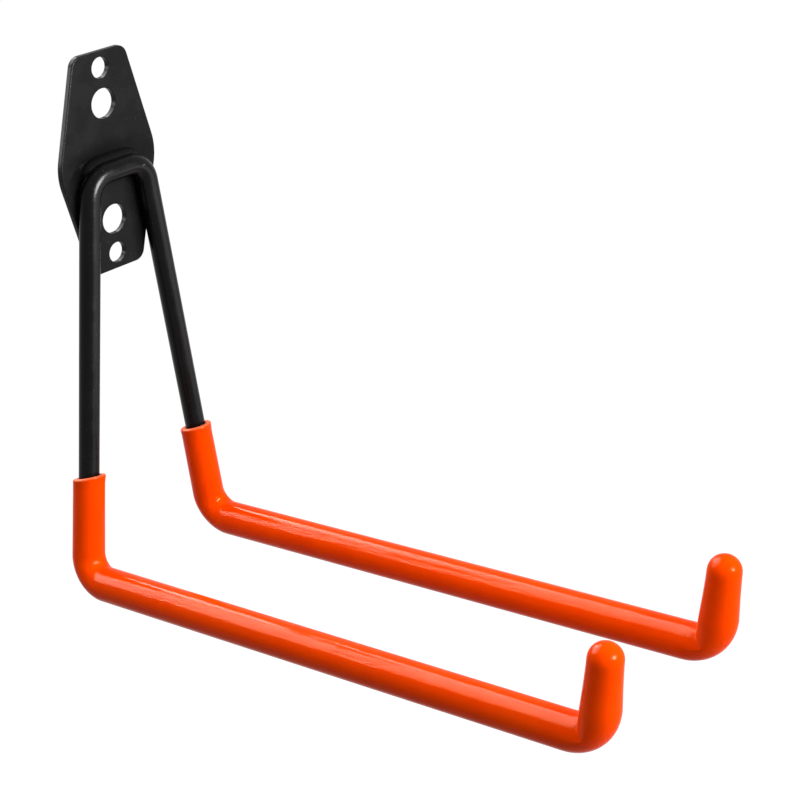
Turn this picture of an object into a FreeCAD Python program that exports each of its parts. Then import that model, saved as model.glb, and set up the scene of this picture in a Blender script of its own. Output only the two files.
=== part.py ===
import FreeCAD, Part
import math
import os

# Wall hook with two long arms: a steel plate, one bent rod that is welded to it,
# and a soft sleeve over each arm.
# Millimetres. The origin is the centre of the plate's back face. +Y points into
# the wall, +Z up, and the arms reach out along -Y.

V = FreeCAD.Vector
LEFT = -1
RIGHT = 1

# Back plate
PLATE_HEIGHT = 84.0
PLATE_END_WIDTH = 25.0
PLATE_MID_WIDTH = 47.8
PLATE_THICKNESS = 2.5
PLATE_END_CORNER_R = 4.5
PLATE_SIDE_CORNER_R = 22.0
PLATE_EDGE_R = 0.5
SMALL_HOLE_R = 4.0
SMALL_HOLE_INSET = 6.2
LARGE_HOLE_R = 5.7
HOLE_PITCH = 13.4
HOLE_CHAMFER = 0.25

# Bent rod, measured along its centreline
ROD_R = 4.0
CROWN_HEIGHT = -1.9
CROWN_WIDTH = 26.6
CROWN_BEND_R = 9.0
LEG_SPLAY_DEG = 7.5
LEG_DROP = 159.1
ELBOW_BEND_R = 10.0
ARM_LENGTH = 244.4
ARM_RISE_DEG = 6.2
TIP_BEND_R = 13.0
TIP_LENGTH = 36.6
TIP_LEAN_DEG = 4.6

# Sleeves: the wall is thinnest at the mouth and at the closed end. The mouth is cut
# at a slant, higher at the front, and each one is turned a little about its leg. The
# inside of the tip's bend is a sharp fold, trimmed just outside the arm and the tip.
SLEEVE_CLEARANCE = 0.05
SLEEVE_WALL_NECK = 2.15
SLEEVE_WALL_ELBOW = 2.35
SLEEVE_WALL_ARM = 2.8
SLEEVE_WALL_TIP = 1.95
SLEEVE_END_WALL = 2.6
SLEEVE_RUN_ON_LEG = 43.0
SLEEVE_TIP_BEND_R = 14.5
SLEEVE_TAPER_SAG = 0.25
FOLD_TRIM = 0.03
MOUTH_SLANT_DEG = 19.5
MOUTH_TURN_DEG = {LEFT: 3.0, RIGHT: 22.0}
MOUTH_FLARE = 0.2
MOUTH_FLARE_LENGTH = 3.0
MOUTH_LIP_R = 0.7
MOUTH_GAP = 0.3
MOUTH_GAP_DEPTH = 5.0

# Weld bead along the top of the crown and a little way round each shoulder
WELD_LEG = 1.7
WELD_ROOT = 2.0
WELD_TOE_DEG = 12.0
WELD_BULGE = 0.35
WELD_WRAP_DEG = 25.0

# A rounding takes at most this share of the plate's thickness from each face, and
# an edge counts as flat when it is less deep than FLAT.
MOST_ROUNDING = 0.45
FLAT = 0.001

QUARTER_TURN = 90
FULL_TURN = 360

BACK = V(0, 1, 0)
FRONT = V(0, -1, 0)
PLATE_FRONT_Y = -PLATE_THICKNESS
ROD_AXIS_Y = PLATE_FRONT_Y - ROD_R
BORE_R = ROD_R + SLEEVE_CLEARANCE


def unit(vector):
    """Return the vector at length one."""
    return V(vector).normalize()


class Straight:
    """A straight stretch of a bent rod's centreline."""

    def __init__(self, start, end):
        self.start = start
        self.end = end
        self.length = (end - start).Length
        self.direction = unit(end - start)

    def solid(self, start_r, end_r):
        """Return the round bar along the stretch, tapered if its two radii differ."""
        if start_r == end_r:
            return Part.makeCylinder(start_r, self.length, self.start, self.direction)
        return Part.makeCone(start_r, end_r, self.length, self.start, self.direction)


class Bend:
    """A bend of a rod's centreline at a corner: an arc tangent to both sides."""

    def __init__(self, before, corner, after, radius):
        back = unit(before - corner)
        ahead = unit(after - corner)
        self.turn = math.pi - back.getAngle(ahead)
        set_back = radius * math.tan(self.turn / 2)
        self.start = corner + back * set_back
        self.end = corner + ahead * set_back
        self.start_direction = back * -1
        self.end_direction = ahead
        self.axis = unit(self.start_direction.cross(self.end_direction))
        self.centre = self.start + self.axis.cross(self.start_direction) * radius
        self.middle = self.centre + unit(corner - self.centre) * radius

    def solid(self, start_r, end_r):
        """Return the round bar along the arc, tapered if its two radii differ."""
        first = Part.Wire(Part.Circle(self.start, self.start_direction, start_r).toShape())
        if start_r == end_r:
            disc = Part.Face(first)
            return disc.revolve(self.centre, self.axis, math.degrees(self.turn))
        last = Part.Wire(Part.Circle(self.end, self.end_direction, end_r).toShape())
        spine = Part.Wire(Part.Arc(self.start, self.middle, self.end).toShape())
        return spine.makePipeShell([first, last], True, False)

    def folded(self, radius):
        """Return the two halves of the round bar along the arc, folded sharply on the inside."""
        halves = []
        ends = (
            (self.start, self.start_direction, self.turn / 2),
            (self.end, self.end_direction * -1, -self.turn / 2),
        )
        reach = (self.end - self.start).Length + 2 * radius
        for point, inward, turn in ends:
            disc = Part.Face(Part.Wire(Part.Circle(point, inward, radius).toShape()))
            half = disc.revolve(self.centre, self.axis, math.degrees(turn))
            straight_bar = Part.makeCylinder(radius + FOLD_TRIM, reach, point - inward * radius, inward)
            halves.append(half.common(straight_bar))
        return halves


def bent_path(corners, bend_radii):
    """Return the straights and bends along a line of corners, end to end."""
    bends = []
    for index, radius in enumerate(bend_radii):
        bends.append(Bend(corners[index], corners[index + 1], corners[index + 2], radius))
    path = []
    reached = corners[0]
    for bend in bends:
        path.append(Straight(reached, bend.start))
        path.append(bend)
        reached = bend.end
    path.append(Straight(reached, corners[-1]))
    return path


def bar_along(path, radii):
    """Return one solid of round bar along a path; radii holds one more value than path."""
    pieces = []
    for index, stretch in enumerate(path):
        pieces.append(stretch.solid(radii[index], radii[index + 1]))
    return pieces[0].multiFuse(pieces[1:])


def single_solid(shape):
    """Return the shape as the one solid that it should be."""
    if len(shape.Solids) != 1:
        raise ValueError("expected one solid, found %d" % len(shape.Solids))
    return shape.Solids[0]


def leg_direction(side):
    """Return the direction down one leg."""
    splay = math.radians(LEG_SPLAY_DEG)
    return V(side * math.sin(splay), 0, -math.cos(splay))


def crown_corner(side):
    """Return the corner where the crown's line meets one leg's line."""
    return V(side * CROWN_WIDTH / 2, ROD_AXIS_Y, CROWN_HEIGHT)


def elbow_corner(side):
    """Return the corner where one leg's line meets its arm's line."""
    along_leg = LEG_DROP / math.cos(math.radians(LEG_SPLAY_DEG))
    return crown_corner(side) + leg_direction(side) * along_leg


def tip_corner(side):
    """Return the corner where one arm's line meets its tip's line."""
    rise = math.radians(ARM_RISE_DEG)
    return elbow_corner(side) + V(0, -math.cos(rise), math.sin(rise)) * ARM_LENGTH


def tip_point(side, from_corner):
    """Return the point on one tip's line at a distance from its corner."""
    lean = math.radians(TIP_LEAN_DEG)
    return tip_corner(side) + V(0, -math.sin(lean), math.cos(lean)) * from_corner


def plate_outline():
    """Return the plate's outline on its back face, an elongated hexagon with round corners."""
    half_height = PLATE_HEIGHT / 2
    half_end = PLATE_END_WIDTH / 2
    half_mid = PLATE_MID_WIDTH / 2
    corners = [
        (V(-half_end, 0, half_height), PLATE_END_CORNER_R),
        (V(half_end, 0, half_height), PLATE_END_CORNER_R),
        (V(half_mid, 0, 0), PLATE_SIDE_CORNER_R),
        (V(half_end, 0, -half_height), PLATE_END_CORNER_R),
        (V(-half_end, 0, -half_height), PLATE_END_CORNER_R),
        (V(-half_mid, 0, 0), PLATE_SIDE_CORNER_R),
    ]
    bends = []
    for index, (corner, radius) in enumerate(corners):
        before = corners[index - 1][0]
        after = corners[(index + 1) % len(corners)][0]
        bends.append(Bend(before, corner, after, radius))
    edges = []
    for index, bend in enumerate(bends):
        edges.append(Part.LineSegment(bends[index - 1].end, bend.start).toShape())
        edges.append(Part.Arc(bend.start, bend.middle, bend.end).toShape())
    return Part.Wire(edges)


def flat_rims(shape, closed):
    """Return the edges that lie in the plate's two faces: whole circles, or the rest."""
    flat = [edge for edge in shape.Edges if edge.BoundBox.YLength < FLAT]
    return [edge for edge in flat if edge.isClosed() == closed]


def back_plate():
    """Return the plate with its four holes on the centre line and all its rims softened."""
    plate = Part.Face(plate_outline()).extrude(FRONT * PLATE_THICKNESS)
    small_height = PLATE_HEIGHT / 2 - SMALL_HOLE_INSET
    large_height = small_height - HOLE_PITCH
    for radius, height in ((SMALL_HOLE_R, small_height), (LARGE_HOLE_R, large_height)):
        for centre in (V(0, 0, height), V(0, 0, -height)):
            plate = plate.cut(Part.makeCylinder(radius, PLATE_THICKNESS, centre, FRONT))
    most = PLATE_THICKNESS * MOST_ROUNDING
    plate = plate.makeChamfer(min(HOLE_CHAMFER, most), flat_rims(plate, True))
    plate = plate.makeFillet(min(PLATE_EDGE_R, most), flat_rims(plate, False))
    return single_solid(plate)


def hook_rod():
    """Return the rod: tip, arm, elbow, leg, crown, and the same again on the other side."""
    end_distance = TIP_LENGTH - SLEEVE_END_WALL - SLEEVE_CLEARANCE
    left_half = [tip_point(LEFT, end_distance), tip_corner(LEFT), elbow_corner(LEFT), crown_corner(LEFT)]
    right_half = [crown_corner(RIGHT), elbow_corner(RIGHT), tip_corner(RIGHT), tip_point(RIGHT, end_distance)]
    bend_radii = [TIP_BEND_R, ELBOW_BEND_R, CROWN_BEND_R, CROWN_BEND_R, ELBOW_BEND_R, TIP_BEND_R]
    path = bent_path(left_half + right_half, bend_radii)
    return single_solid(bar_along(path, [ROD_R] * (len(path) + 1)))


def sleeve(side):
    """Return one sleeve: open at the mouth on the leg, closed by a dome at the tip."""
    mouth = elbow_corner(side) - leg_direction(side) * SLEEVE_RUN_ON_LEG
    neck = mouth + leg_direction(side) * MOUTH_FLARE_LENGTH
    neck_r = BORE_R + SLEEVE_WALL_NECK
    elbow_r = BORE_R + SLEEVE_WALL_ELBOW
    arm_r = BORE_R + SLEEVE_WALL_ARM
    dome_r = BORE_R + SLEEVE_WALL_TIP
    corners = [neck, elbow_corner(side), tip_corner(side), tip_point(side, TIP_LENGTH - dome_r)]
    path = bent_path(corners, [ELBOW_BEND_R, SLEEVE_TIP_BEND_R])
    leg, elbow, arm, tip_bend, tip = path
    pieces = [mouth_end(side, mouth, neck_r), leg.solid(neck_r, elbow_r), elbow.solid(elbow_r, arm_r)]
    pieces.append(arm.solid(arm_r, arm_r))
    pieces.extend(tip_bend.folded(arm_r))
    pieces.append(tip_end(tip, arm_r, dome_r))
    outer = pieces[0].multiFuse(pieces[1:])
    return single_solid(outer.cut(sleeve_bore(side, mouth)))


def mouth_end(side, mouth, neck_r):
    """Return the flared end of a sleeve's neck, cut at a slant and rounded on its outer edge."""
    slant = math.radians(MOUTH_SLANT_DEG)
    down = leg_direction(side)
    low_side = FreeCAD.Rotation(down, MOUTH_TURN_DEG[side]).multVec(BACK)
    upright = down * -math.cos(slant) + low_side * math.sin(slant)
    flare = Straight(mouth + down * MOUTH_FLARE_LENGTH, mouth - down * neck_r)
    flare_r = neck_r + MOUTH_FLARE * flare.length / MOUTH_FLARE_LENGTH
    end = flare.solid(neck_r, flare_r).cut(Part.makeCylinder(flare_r * 2, flare_r * 2, mouth, upright))
    rim = max(end.Faces, key=lambda face: face.CenterOfMass.dot(upright))
    wall = neck_r - BORE_R - MOUTH_GAP
    return end.makeFillet(min(MOUTH_LIP_R, wall / 2, MOUTH_FLARE_LENGTH / 2), rim.Edges)


def tip_end(tip, arm_r, dome_r):
    """Return a sleeve's tip: a taper that is steepest next to the bend, then a dome."""

    def at(along, radius):
        return tip.start + tip.direction * along + V(radius, 0, 0)

    taper = Part.BezierCurve()
    sagged_r = dome_r + (arm_r - dome_r) * SLEEVE_TAPER_SAG
    taper.setPoles([at(0, arm_r), at(tip.length / 2, sagged_r), at(tip.length, dome_r)])
    on_dome = dome_r * math.sin(math.pi / 4)
    apex = at(tip.length + dome_r, 0)
    edges = [
        Part.LineSegment(at(0, 0), at(0, arm_r)).toShape(),
        taper.toShape(),
        Part.Arc(at(tip.length, dome_r), at(tip.length + on_dome, on_dome), apex).toShape(),
        Part.LineSegment(apex, at(0, 0)).toShape(),
    ]
    return Part.Face(Part.Wire(edges)).revolve(tip.start, tip.direction, FULL_TURN)


def sleeve_bore(side, mouth):
    """Return the tool for a sleeve's bore: past the mouth, along the rod and past the rod's end."""
    past = mouth - leg_direction(side) * BORE_R
    end = tip_point(side, TIP_LENGTH - SLEEVE_END_WALL)
    path = bent_path([past, elbow_corner(side), tip_corner(side), end], [ELBOW_BEND_R, TIP_BEND_R])
    bore = bar_along(path, [BORE_R] * (len(path) + 1))
    relief = Straight(past, mouth + leg_direction(side) * MOUTH_GAP_DEPTH)
    relief_r = BORE_R + MOUTH_GAP * relief.length / MOUTH_GAP_DEPTH
    return bore.fuse(relief.solid(relief_r, BORE_R))


def weld_section():
    """Return the bead's section over the middle of the crown, reaching into the rod."""
    toe = math.radians(WELD_TOE_DEG)
    middle = V(0, PLATE_FRONT_Y, CROWN_HEIGHT)

    def at(out, height):
        return middle + V(0, 0, out) + FRONT * height

    plate_toe = at(ROD_R + WELD_LEG, 0)
    rod_toe = at(ROD_R * math.cos(toe), ROD_R - ROD_R * math.sin(toe))
    chord = unit(rod_toe - plate_toe)
    crest = (plate_toe + rod_toe) * 0.5 + chord.cross(V(1, 0, 0)) * WELD_BULGE
    edges = [
        Part.LineSegment(at(WELD_ROOT, 0), plate_toe).toShape(),
        Part.Arc(plate_toe, crest, rod_toe).toShape(),
        Part.LineSegment(rod_toe, at(WELD_ROOT, ROD_R)).toShape(),
        Part.LineSegment(at(WELD_ROOT, ROD_R), at(WELD_ROOT, 0)).toShape(),
    ]
    return Part.Face(Part.Wire(edges))


def weld_bead(rod):
    """Return the bead, half of it swept along the crown and then mirrored, seated on the rod."""
    shoulder = Bend(crown_corner(LEFT), crown_corner(RIGHT), elbow_corner(RIGHT), CROWN_BEND_R)
    centre = V(shoulder.centre.x, PLATE_FRONT_Y, shoulder.centre.z)
    to_shoulder = V(shoulder.start.x, 0, 0)
    section = weld_section()
    pieces = [section.extrude(to_shoulder)]
    section.translate(to_shoulder)
    pieces.append(section.revolve(centre, shoulder.axis, WELD_WRAP_DEG))
    section.rotate(centre, shoulder.axis, WELD_WRAP_DEG)
    outward = unit(section.CenterOfMass - centre)
    outward.y = 0
    root = centre + unit(outward) * (CROWN_BEND_R + WELD_ROOT)
    pieces.append(section.revolve(root, shoulder.axis, QUARTER_TURN))
    half = pieces[0].multiFuse(pieces[1:])
    whole = half.fuse(half.mirror(V(0, 0, 0), V(1, 0, 0)))
    return single_solid(whole.cut(rod))


os.makedirs("parts", exist_ok=True)
rod = hook_rod()
back_plate().exportStep("parts/back_plate.step")
rod.exportStep("parts/hook_rod.step")
weld_bead(rod).exportStep("parts/weld_bead.step")
sleeve(LEFT).exportStep("parts/left_sleeve.step")
sleeve(RIGHT).exportStep("parts/right_sleeve.step")
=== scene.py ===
"""Double arm wall hook: finishes of its steel and vinyl pieces, studio lamps, floor and camera."""
import logging
import math
from dataclasses import dataclass
from enum import Enum
from typing import Any, Sequence, Union

import bpy
from mathutils import Matrix, Vector

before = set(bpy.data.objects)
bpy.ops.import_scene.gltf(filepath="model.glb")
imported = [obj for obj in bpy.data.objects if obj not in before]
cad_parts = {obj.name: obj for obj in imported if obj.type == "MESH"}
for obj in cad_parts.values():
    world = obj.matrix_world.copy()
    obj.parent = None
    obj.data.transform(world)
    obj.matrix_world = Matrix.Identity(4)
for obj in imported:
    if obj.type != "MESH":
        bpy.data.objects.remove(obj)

LOG = logging.getLogger("wall_hook")

Pair = tuple[float, float]
Triple = tuple[float, float, float]
Fed = Union["Wire", bpy.types.NodeSocket, float, Sequence[float]]

MM = 0.001
WHITE: Triple = (1.0, 1.0, 1.0)
BEVEL_SAMPLES = 8
SPOT_CORE = 0.3

PLATE = ("back_plate",)
ROD = ("hook_rod",)
STEEL = PLATE + ROD + ("weld_bead",)
VINYL = ("left_sleeve", "right_sleeve")

HOOK_MIDDLE: Triple = (0.0, -0.12, -0.08)
PLATE_MIDDLE: Triple = (0.0, -0.012, -0.02)
LEFT_OF_ARMS: Triple = (-0.191, -0.131, -0.118)


class Axis(Enum):
    """The axis that a point is turned about, by the name that the rotate node takes."""

    X = "X_AXIS"
    Y = "Y_AXIS"


class Side(Enum):
    """The left or right half of the hook, as the sign of its x."""

    LEFT = -1
    RIGHT = 1


class Reach(Enum):
    """Which rays a lamp answers, as (diffuse, glossy)."""

    SHEEN_ONLY = (False, True)
    LIGHT_ONLY = (True, False)


@dataclass(frozen=True)
class Spot:
    """A soft-edged ellipsoid, by its centre and half axes in millimetres."""

    centre: Triple
    reach: Triple


class Wire:
    """An output socket whose arithmetic adds Math nodes to its tree."""

    def __init__(self, bench: "Bench", socket: bpy.types.NodeSocket) -> None:
        """Keep the socket and the bench that it belongs to."""
        self.bench = bench
        self.socket = socket

    def __add__(self, other: Fed) -> "Wire":
        """self + other."""
        return self.bench.math("ADD", self, other)

    def __radd__(self, other: Fed) -> "Wire":
        """other + self."""
        return self.bench.math("ADD", other, self)

    def __sub__(self, other: Fed) -> "Wire":
        """self - other."""
        return self.bench.math("SUBTRACT", self, other)

    def __rsub__(self, other: Fed) -> "Wire":
        """other - self."""
        return self.bench.math("SUBTRACT", other, self)

    def __mul__(self, other: Fed) -> "Wire":
        """self * other."""
        return self.bench.math("MULTIPLY", self, other)

    def __rmul__(self, other: Fed) -> "Wire":
        """other * self."""
        return self.bench.math("MULTIPLY", other, self)

    def __neg__(self) -> "Wire":
        """-self."""
        return self.bench.math("MULTIPLY", self, -1.0)


class Bench:
    """Builds the nodes of one material's or world's tree."""

    def __init__(self, tree: bpy.types.NodeTree) -> None:
        """Start from an empty tree."""
        self.tree = tree
        tree.nodes.clear()

    def feed(self, target: bpy.types.NodeSocket, value: Fed) -> None:
        """Link or set one input socket.

        Args:
            target: The input socket.
            value: A wire or socket to link, or a number or tuple to set.
        """
        if isinstance(value, Wire):
            value = value.socket
        if isinstance(value, bpy.types.NodeSocket):
            self.tree.links.new(value, target)
        else:
            target.default_value = value

    def node(self, kind: str, settings: dict[str, Any] | None = None,
             sockets: dict[str | int, Fed] | None = None) -> bpy.types.Node:
        """Add a node, set its settings, then feed its inputs.

        Args:
            kind: The node's Blender type name.
            settings: Properties to set first, such as a Math node's operation.
            sockets: Values or links by input name or number.

        Returns:
            The new node.
        """
        made = self.tree.nodes.new(kind)
        for name, value in (settings or {}).items():
            setattr(made, name, value)
        for name, value in (sockets or {}).items():
            self.feed(made.inputs[name], value)
        return made

    def wire(self, made: bpy.types.Node, output: str | int = 0) -> Wire:
        """Wrap an output of a node."""
        return Wire(self, made.outputs[output])

    def math(self, operation: str, first: Fed, second: Fed = 0.0) -> Wire:
        """Add a Math node.

        Args:
            operation: The Math node's operation.
            first: The first value.
            second: The second value.

        Returns:
            The result.
        """
        return self.wire(self.node("ShaderNodeMath", {"operation": operation}, {0: first, 1: second}))

    def vector(self, operation: str, first: Fed, second: Fed = (0.0, 0.0, 0.0),
               output: str = "Vector") -> Wire:
        """Add a Vector Math node.

        Args:
            operation: The Vector Math node's operation.
            first: The first vector.
            second: The second vector.
            output: "Vector", or "Value" for a length or dot product.

        Returns:
            The result.
        """
        made = self.node("ShaderNodeVectorMath", {"operation": operation}, {0: first, 1: second})
        return self.wire(made, output)

    def millimetres(self) -> Wire:
        """The shaded point in the object's own coordinates, in millimetres."""
        place = self.node("ShaderNodeTexCoord").outputs["Object"]
        return self.vector("MULTIPLY", place, even(1 / MM))

    def axes(self, point: Fed) -> tuple[Wire, Wire, Wire]:
        """Split a vector into x, y and z."""
        parts = self.node("ShaderNodeSeparateXYZ", sockets={0: point})
        return self.wire(parts, 0), self.wire(parts, 1), self.wire(parts, 2)

    def turned(self, point: Fed, about: Axis, degrees: float) -> Wire:
        """Turn a point about an axis through the origin.

        Args:
            point: The point to turn.
            about: The axis.
            degrees: The angle.

        Returns:
            The turned point.
        """
        return self.wire(self.node("ShaderNodeVectorRotate", {"rotation_type": about.value},
                                   {"Vector": point, "Angle": math.radians(degrees)}))

    def noise(self, point: Fed, grain: Triple, detail: float) -> Wire:
        """Noise from 0 to 1 whose lumps have a given length along each axis.

        Args:
            point: The point, in millimetres.
            grain: The lumps' rough size along x, y and z, in millimetres.
            detail: Octaves of finer lumps.

        Returns:
            The noise.
        """
        scaled = self.vector("MULTIPLY", point, tuple(1 / size for size in grain))
        made = self.node("ShaderNodeTexNoise", {"noise_dimensions": "3D"},
                         {"Vector": scaled, "Scale": 1.0, "Detail": detail})
        return self.wire(made, "Fac")

    def between(self, value: Fed, low: float, high: float, start: float = 0.0, end: float = 1.0) -> Wire:
        """A smooth step from start to end as value goes from low to high.

        Args:
            value: The driving value.
            low: Where the step begins.
            high: Where it is complete.
            start: The result at low.
            end: The result at high.

        Returns:
            The stepped value.
        """
        made = self.node("ShaderNodeMapRange", {"interpolation_type": "SMOOTHSTEP", "clamp": True},
                         {"Value": value, "From Min": low, "From Max": high, "To Min": start, "To Max": end})
        return self.wire(made)

    def blend(self, factor: Fed, first: Sequence[float] | Wire, second: Sequence[float] | Wire) -> Wire:
        """Mix two colours.

        Args:
            factor: 0 for the first, 1 for the second.
            first: The first colour, as red, green, blue.
            second: The second colour.

        Returns:
            The mixed colour.
        """
        made = self.node("ShaderNodeMix", {"data_type": "RGBA"},
                         {0: factor, 6: colour(first), 7: colour(second)})
        return self.wire(made, 2)

    def near(self, point: Fed, spot: Spot) -> Wire:
        """A soft mask, 1 in the core of a spot and 0 outside it.

        Args:
            point: The point, in millimetres.
            spot: The spot.

        Returns:
            The mask.
        """
        offset = self.vector("DIVIDE", self.vector("SUBTRACT", point, spot.centre), spot.reach)
        return self.between(self.vector("LENGTH", offset, output="Value"), 1.0, SPOT_CORE)

    def softened(self, where: Fed, radius: float) -> Wire:
        """Normals whose sharp edges fade where a mask is 1.

        Args:
            where: The mask.
            radius: How far from an edge its sharpness fades, in millimetres.

        Returns:
            The normals.
        """
        sharp = self.node("ShaderNodeNewGeometry").outputs["Normal"]
        soft = self.node("ShaderNodeBevel", {"samples": BEVEL_SAMPLES}, {"Radius": radius * MM})
        mixed = self.node("ShaderNodeMix", {"data_type": "VECTOR"},
                          {0: where, 4: sharp, 5: soft.outputs["Normal"]})
        return self.wire(mixed, 1)

    def bump(self, height: Fed, over: Wire | None = None) -> Wire:
        """Normals of a surface raised by a height.

        Args:
            height: The height in millimetres.
            over: The normals to start from, if not the surface's own.

        Returns:
            The normals.
        """
        sockets = {"Strength": 1.0, "Distance": MM, "Height": height}
        if over is not None:
            sockets["Normal"] = over
        return self.wire(self.node("ShaderNodeBump", sockets=sockets), "Normal")

    def principled(self, sockets: dict[str | int, Fed]) -> None:
        """End a material's tree in a Principled shader with the given inputs."""
        shader = self.node("ShaderNodeBsdfPrincipled", sockets=sockets)
        self.node("ShaderNodeOutputMaterial", sockets={"Surface": shader.outputs[0]})


def even(value: float) -> Triple:
    """The same value along x, y and z, or for red, green and blue."""
    return (value, value, value)


def colour(value: Sequence[float] | Wire) -> Sequence[float] | Wire:
    """A colour as the four numbers that a colour socket takes, or the wire as it is."""
    return value if isinstance(value, Wire) else (*value, 1.0)


def blank_material(name: str) -> tuple[bpy.types.Material, Bench]:
    """Make a material with an empty tree.

    Args:
        name: The material's name.

    Returns:
        The material and the bench for its tree.
    """
    material = bpy.data.materials.new(name)
    material.use_nodes = True
    return material, Bench(material.node_tree)


@dataclass(frozen=True)
class PowderCoat:
    """Satin black powder coat on steel: a fine pebbled film with a few nicks. Sizes in millimetres."""

    film: Triple = (0.0085, 0.0085, 0.0086)
    thin_film: Triple = (0.0095, 0.0095, 0.0097)
    # painted shade: in the listed spots the film darkens to this tone, where shade falls around the weld
    painted_shade_film: Triple = (0.001, 0.001, 0.001)
    rubbed: Triple = (0.11, 0.11, 0.115)
    specular: float = 0.06
    smooth: float = 0.24
    rough: float = 0.3
    cloud_size: float = 9.0
    cloud_step: Pair = (0.35, 0.7)
    speck_size: float = 0.9
    speck_step: Pair = (0.74, 0.8)
    speck_share: float = 0.35
    pebble_size: float = 0.55
    pebble_height: float = 0.007
    film_wave_size: float = 5.0
    film_wave_height: float = 0.02
    nick_share: float = 0.8
    nick_depth: float = 0.05
    nicks: tuple[Spot, ...] = ()
    painted_shade_spots: tuple[Spot, ...] = ()

    def height(self, bench: Bench, point: Wire) -> Wire:
        """The film's relief in millimetres: fine pebbles on a slow wave."""
        pebbles = bench.noise(point, even(self.pebble_size), 2.0) * self.pebble_height
        return pebbles + bench.noise(point, even(self.film_wave_size), 1.0) * self.film_wave_height

    def build(self, name: str) -> bpy.types.Material:
        """Make the material.

        Args:
            name: The material's name.

        Returns:
            The material.
        """
        material, bench = blank_material(name)
        point = bench.millimetres()
        cloud = bench.between(bench.noise(point, even(self.cloud_size), 3.0), *self.cloud_step)
        specks = bench.between(bench.noise(point, even(self.speck_size), 1.0), *self.speck_step)
        tone = bench.blend(cloud, self.film, self.thin_film)
        tone = bench.blend(specks * self.speck_share, tone, self.rubbed)
        height = self.height(bench, point)
        # painted shade: the film is darkened around the weld, where the crown shades the plate
        for shade_spot in self.painted_shade_spots:
            tone = bench.blend(bench.near(point, shade_spot), tone, self.painted_shade_film)
        for nick in self.nicks:
            worn = bench.near(point, nick)
            tone = bench.blend(worn * self.nick_share, tone, self.rubbed)
            height = height - worn * self.nick_depth
        bench.principled({
            "Base Color": tone,
            "Roughness": bench.between(cloud, 0.0, 1.0, self.smooth, self.rough),
            "Specular IOR Level": self.specular,
            "Normal": bench.bump(height),
        })
        return material


@dataclass(frozen=True)
class WeldedCoat(PowderCoat):
    """Powder coat over a weld bead, whose crescent ripples show through it, and whose dark film is painted
    shade.
    """

    # film and thin_film are darker than the plate's: painted shade over the bead above the crown
    film: Triple = (0.002, 0.002, 0.002)
    thin_film: Triple = (0.0025, 0.0025, 0.0025)
    smooth: float = 0.42
    rough: float = 0.5
    ripple_pitch: float = 1.5
    ripple_height: float = 0.025
    ripple_bow: float = 0.07
    wander_size: float = 2.6
    wander: float = 0.9

    def height(self, bench: Bench, point: Wire) -> Wire:
        """The film's relief over the bead's ripples, in millimetres."""
        across, out, _ = bench.axes(point)
        wander = bench.noise(point, even(self.wander_size), 2.0) * self.wander
        phase = (across + out * out * self.ripple_bow + wander) * (2 * math.pi / self.ripple_pitch)
        ripples = bench.math("SINE", phase) * (self.ripple_height / 2)
        return ripples + super().height(bench, point)


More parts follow.
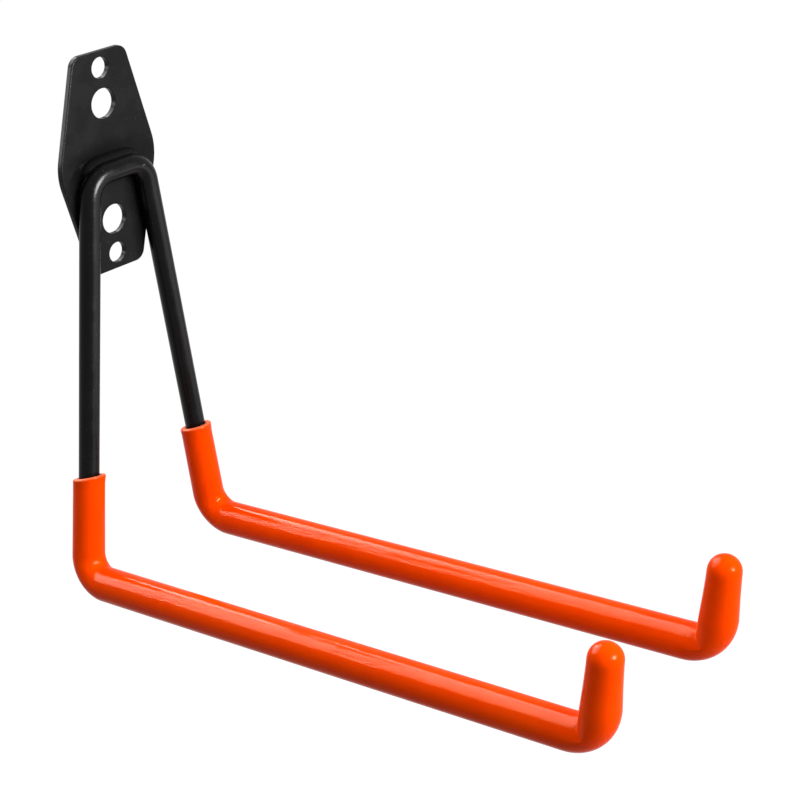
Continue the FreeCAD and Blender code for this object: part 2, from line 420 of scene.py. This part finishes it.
@dataclass(frozen=True)
class DippedVinyl:
    """Glossy soft vinyl over a bent rod: draw lines, a painted highlight on the mouth's lip, a crease. Sizes
    in millimetres.

    Places are the right sleeve's. The steps of its clouds are in noise from 0 to 1.
    """

    side: Side
    tone: Triple = (0.97, 0.061, 0.0)
    deep_tone: Triple = (0.95, 0.053, 0.0)
    tone_step: Pair = (0.3, 0.75)
    specular: float = 0.02
    sheen_tint: Triple = (1.0, 0.8, 0.5)
    gloss: float = 0.065
    dull: float = 0.085
    dull_step: Pair = (0.35, 0.7)
    cloud_size: float = 14.0
    # a paler tone on the lip: painted highlight along the mouth's rounded rim
    lip_highlight_tone: Triple = (0.95, 0.2, 0.09)
    lip_highlight_share: float = 0.7
    lip_depth: float = 0.9
    lip_roughness: float = 0.25
    mouth: Triple = (28.633, -6.5, -118.368)
    mouth_slant: float = 19.5
    mouth_turns: Pair = (3.0, 22.0)
    leg_step: Pair = (-18.0, -15.0)
    leg_splay: float = 7.5
    arm_rise: float = 6.2
    line_size: float = 0.9
    line_run: float = 70.0
    line_height: float = 0.016
    leg_line_share: float = 0.4
    leg_from: float = -144.0
    leg_fade: float = 6.0
    arm_from: float = 18.0
    arm_to: float = 236.0
    arm_fade: float = 8.0
    peel_size: float = 3.0
    peel_height: float = 0.005
    crease: Triple = (34.25, -242.6, -128.6)
    crease_reach: Triple = (9.0, 2.2, 5.0)
    wrinkle_grain: Triple = (5.0, 0.9, 0.9)
    wrinkle_height: float = 0.35
    bend_reach: Triple = (10.0, 6.0, 6.0)
    bend_softness: float = 1.3

    def on_side(self, place: Triple) -> Triple:
        """A place of the right sleeve, on this sleeve's side."""
        return (self.side.value * place[0], place[1], place[2])

    def lines(self, bench: Bench, point: Wire) -> Wire:
        """Draw lines from 0 to 1 that follow the leg and the arm.

        Args:
            bench: The material's bench.
            point: The point, in millimetres.

        Returns:
            The lines.
        """
        fine, run = self.line_size, self.line_run
        _, out, height = bench.axes(point)
        level = bench.turned(point, Axis.X, self.arm_rise)
        upright = bench.turned(point, Axis.Y, -self.side.value * self.leg_splay)
        along_arm = bench.noise(level, (fine, run, fine), 1.0)
        along_leg = bench.noise(upright, (fine, fine, run), 1.0)
        ahead = -out
        on_arm = bench.between(ahead, self.arm_from, self.arm_from + self.arm_fade)
        on_arm = on_arm * bench.between(ahead, self.arm_to + self.arm_fade, self.arm_to)
        on_leg = bench.between(height, self.leg_from - self.leg_fade, self.leg_from)
        on_leg = on_leg * bench.between(ahead, self.arm_from + self.arm_fade, self.arm_from)
        return along_arm * on_arm + along_leg * on_leg * self.leg_line_share

    def out_of_mouth(self) -> Vector:
        """The direction out of the sleeve's slanted mouth."""
        lean, slant = math.radians(self.leg_splay), math.radians(self.mouth_slant)
        turn = self.mouth_turns[0] if self.side is Side.LEFT else self.mouth_turns[1]
        down = Vector((self.side.value * math.sin(lean), 0.0, -math.cos(lean)))
        low_side = Matrix.Rotation(math.radians(turn), 3, down) @ Vector((0.0, 1.0, 0.0))
        return low_side * math.sin(slant) - down * math.cos(slant)

    def lip(self, bench: Bench, point: Wire) -> Wire:
        """A mask that is 1 on the cut rim of the sleeve's mouth.

        Args:
            bench: The material's bench.
            point: The point, in millimetres.

        Returns:
            The mask.
        """
        from_mouth = bench.vector("SUBTRACT", point, self.on_side(self.mouth))
        above = bench.vector("DOT_PRODUCT", from_mouth, tuple(self.out_of_mouth()), "Value")
        on_leg = bench.between(bench.axes(point)[1], *self.leg_step)
        return bench.between(above, -self.lip_depth, 0.0) * on_leg

    def build(self, name: str) -> bpy.types.Material:
        """Make the material.

        Args:
            name: The material's name.

        Returns:
            The material.
        """
        material, bench = blank_material(name)
        point = bench.millimetres()
        cloud = bench.noise(point, even(self.cloud_size), 2.0)
        lip = self.lip(bench, point)
        tone = bench.blend(bench.between(cloud, *self.tone_step), self.deep_tone, self.tone)
        # painted highlight: the mouth's rim is painted paler
        tone = bench.blend(lip * self.lip_highlight_share, tone, self.lip_highlight_tone)
        roughness = bench.between(cloud, *self.dull_step, self.gloss, self.dull) + lip * self.lip_roughness
        crease = self.on_side(self.crease)
        creased = bench.near(point, Spot(crease, self.crease_reach))
        bent = bench.near(point, Spot(crease, self.bend_reach))
        height = self.lines(bench, point) * self.line_height
        height = height + bench.noise(point, even(self.peel_size), 1.0) * self.peel_height
        height = height + bench.noise(point, self.wrinkle_grain, 2.0) * creased * self.wrinkle_height
        bench.principled({
            "Base Color": tone,
            "Roughness": roughness,
            "Specular IOR Level": self.specular,
            "Specular Tint": colour(self.sheen_tint),
            "Normal": bench.bump(height, bench.softened(bent, self.bend_softness)),
        })
        return material


def dress(node: str, material: bpy.types.Material) -> None:
    """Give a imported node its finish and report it.

    Args:
        node: The node's name.
        material: Its material.
    """
    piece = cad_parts[node]
    piece.data.materials.clear()
    piece.data.materials.append(material)
    for facet in piece.data.polygons:
        facet.material_index = 0
    LOG.info("%s: %d faces", piece.name, len(piece.data.polygons))


@dataclass(frozen=True)
class MountingPlate:
    """The drilled plate that lies on the wall, with painted shade on its front around the weld."""

    coat: PowderCoat = PowderCoat(
        nicks=(Spot((-0.4, -2.6, 1.2), (0.9, 0.6, 0.45)),),
        # painted shade on the plate's front around the weld, under the crown
        painted_shade_spots=(Spot((0.0, -2.5, 1.0), (30.0, 2.4, 11.0)),))

    def make(self) -> None:
        """Dress the plate."""
        dress("back_plate", self.coat.build("plate_powder_coat"))


@dataclass(frozen=True)
class BentRod:
    """The crown, legs, arms and tips, bent from one bar, with the weld that holds it."""

    coat: PowderCoat = PowderCoat(
        film=(0.003, 0.003, 0.0031), thin_film=(0.004, 0.004, 0.0041), specular=0.08,
        nicks=(Spot((9.8, -10.0, -2.4), (1.3, 1.0, 0.5)), Spot((19.8, -9.2, -24.5), (0.5, 0.9, 1.1))))
    weld_coat: WeldedCoat = WeldedCoat()

    def make(self) -> None:
        """Dress the rod and its weld bead."""
        dress("hook_rod", self.coat.build("rod_powder_coat"))
        dress("weld_bead", self.weld_coat.build("weld_powder_coat"))


@dataclass(frozen=True)
class VinylSleeve:
    """One orange sleeve, from its open mouth on the leg to its domed tip."""

    side: Side

    def make(self) -> None:
        """Dress the sleeve."""
        node = f"{self.side.name.lower()}_sleeve"
        dress(node, DippedVinyl(self.side).build(f"{node}_vinyl"))


@dataclass(frozen=True)
class Lamp:
    """A flat studio lamp, in metres, that lights only the named nodes, or everything if none is named."""

    name: str
    place: Triple
    aim: Triple
    width: float
    height: float
    radiance: float
    reach: Reach
    only: tuple[str, ...] = ()
    tint: Triple = WHITE

    def make(self) -> None:
        """Place the lamp, turn it to its aim and set its power from its radiance."""
        data = bpy.data.lights.new(self.name, "AREA")
        data.shape = "RECTANGLE"
        data.size = self.width
        data.size_y = self.height
        data.color = self.tint
        data.energy = math.pi * self.radiance * self.width * self.height
        lamp = bpy.data.objects.new(self.name, data)
        back = Vector(self.place) - Vector(self.aim)
        lamp.rotation_euler = back.to_track_quat("Z", "Y").to_euler()
        lamp.location = self.place
        lamp.visible_camera = False
        lamp.visible_diffuse, lamp.visible_glossy = self.reach.value
        if self.only:
            lit = bpy.data.collections.new(f"{self.name}_lit")
            for node in self.only:
                lit.objects.link(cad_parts[node])
            lamp.light_linking.receiver_collection = lit
        bpy.context.scene.collection.objects.link(lamp)


@dataclass(frozen=True)
class Studio:
    """The pale floor, the white surround and the lamps, in metres."""

    floor_size: float = 14.0
    floor_level: float = -0.62
    floor_tone: float = 0.33
    floor_glow: float = 1.09
    floor_glow_share: float = 0.92
    ambient: float = 0.03
    lamps: tuple[Lamp, ...] = (
        Lamp("key", (0.27, -1.15, 0.47), HOOK_MIDDLE, 1.1, 0.8, 9.0, Reach.LIGHT_ONLY),
        Lamp("front_fill", (-0.2, -1.25, 0.0), HOOK_MIDDLE, 0.8, 0.8, 1.1, Reach.LIGHT_ONLY),
        Lamp("top", (0.0, -0.15, 1.1), HOOK_MIDDLE, 0.7, 0.7, 4.5, Reach.LIGHT_ONLY),
        Lamp("rear", (-0.15, 0.9, 0.7), HOOK_MIDDLE, 1.7, 1.2, 3.0, Reach.LIGHT_ONLY),
        Lamp("vinyl_key_sheen", (0.06, -1.18, 0.42), HOOK_MIDDLE, 0.6, 0.34, 430.0,
             Reach.SHEEN_ONLY, VINYL),
        Lamp("vinyl_rear_sheen", (-0.29, 1.758, 1.36), LEFT_OF_ARMS, 2.6, 1.8, 54.0,
             Reach.SHEEN_ONLY, VINYL, (1.0, 0.93, 0.87)),
        Lamp("steel_key_sheen", (0.206, -1.18, 0.136), PLATE_MIDDLE, 0.5, 0.55, 100.0,
             Reach.SHEEN_ONLY, STEEL),
        Lamp("steel_rear_sheen", (-0.1, 1.3, 0.9), PLATE_MIDDLE, 1.7, 1.0, 14.0,
             Reach.SHEEN_ONLY, STEEL),
        Lamp("rod_low_sheen", (0.52, -0.99, -0.47), PLATE_MIDDLE, 1.1, 0.5, 3.0, Reach.SHEEN_ONLY, ROD),
        Lamp("edge_sheen", (-0.9, 1.1, 0.15), PLATE_MIDDLE, 0.5, 0.4, 16.0, Reach.SHEEN_ONLY, PLATE),
        Lamp("side_sheen", (-1.2, -0.55, 0.15), PLATE_MIDDLE, 0.7, 0.5, 20.0, Reach.SHEEN_ONLY, PLATE),
    )

    def seen(self, bench: Bench) -> Wire:
        """1 for camera, glossy and transmission rays, and 0 for the rest."""
        path = bench.node("ShaderNodeLightPath")
        either = bench.math("MAXIMUM", path.outputs["Is Camera Ray"], path.outputs["Is Glossy Ray"])
        return bench.math("MAXIMUM", either, path.outputs["Is Transmission Ray"])

    def make_floor(self) -> None:
        """Lay a pale floor that shows white but keeps the hook's shadow."""
        half = self.floor_size / 2
        corners = [(across * half, along * half, self.floor_level)
                   for across, along in ((-1, -1), (1, -1), (1, 1), (-1, 1))]
        mesh = bpy.data.meshes.new("studio_floor")
        mesh.from_pydata(corners, [], [(0, 1, 2, 3)])
        floor = bpy.data.objects.new("studio_floor", mesh)
        bpy.context.scene.collection.objects.link(floor)
        material, bench = blank_material("studio_floor")
        matte = bench.node("ShaderNodeBsdfDiffuse", sockets={"Color": colour(even(self.floor_tone))})
        glow = bench.node("ShaderNodeEmission", sockets={"Color": colour(WHITE), "Strength": self.floor_glow})
        mixed = bench.node("ShaderNodeMixShader", sockets={
            0: self.seen(bench) * self.floor_glow_share, 1: matte.outputs[0], 2: glow.outputs[0]})
        bench.node("ShaderNodeOutputMaterial", sockets={"Surface": mixed.outputs[0]})
        mesh.materials.append(material)

    def make_surround(self) -> None:
        """Give the world a low plain light and a white look."""
        world = bpy.data.worlds.new("studio_surround")
        world.use_nodes = True
        bpy.context.scene.world = world
        bench = Bench(world.node_tree)
        level = self.seen(bench) * (1.0 - self.ambient) + self.ambient
        glow = bench.node("ShaderNodeBackground", sockets={"Color": colour(WHITE), "Strength": level})
        bench.node("ShaderNodeOutputWorld", sockets={"Surface": glow.outputs[0]})

    def make(self) -> None:
        """Set up the floor, the surround and the lamps."""
        self.make_floor()
        self.make_surround()
        for lamp in self.lamps:
            lamp.make()
        LOG.info("studio: %d lamps", len(self.lamps))


@dataclass(frozen=True)
class Viewpoint:
    """The camera's place in metres, its direction in degrees, and its lens and film in millimetres."""

    place: Triple = (-0.473099, -0.553854, 0.231447)
    azimuth: float = -48.940
    elevation: float = 24.854
    roll: float = -1.950
    lens: float = 90.743
    film: float = 36.0
    nearest: float = 0.01

    def make(self) -> None:
        """Create the camera and make it the scene's."""
        data = bpy.data.cameras.new("camera")
        data.lens = self.lens
        data.sensor_width = self.film
        data.clip_start = self.nearest
        turn, lift, tip = (math.radians(angle) for angle in (self.azimuth, self.elevation, self.roll))
        back = Vector((math.sin(turn) * math.cos(lift), -math.cos(turn) * math.cos(lift), math.sin(lift)))
        level = (-back).cross(Vector((0.0, 0.0, 1.0))).normalized()
        upright = level.cross(-back)
        right = level * math.cos(tip) + upright * math.sin(tip)
        up = upright * math.cos(tip) - level * math.sin(tip)
        turned = Matrix((right, up, back)).transposed().to_4x4()
        camera = bpy.data.objects.new("camera", data)
        camera.matrix_world = Matrix.Translation(self.place) @ turned
        bpy.context.scene.collection.objects.link(camera)
        bpy.context.scene.camera = camera


def main() -> None:
    """Set the camera, dress every piece in order, then set up the studio."""
    logging.basicConfig(level=logging.INFO, format="%(name)s: %(message)s")
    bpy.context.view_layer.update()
    bpy.context.scene.view_settings.view_transform = "Standard"
    Viewpoint().make()
    MountingPlate().make()
    BentRod().make()
    for side in Side:
        VinylSleeve(side).make()
    Studio().make()


if __name__ == "__main__":
    main()
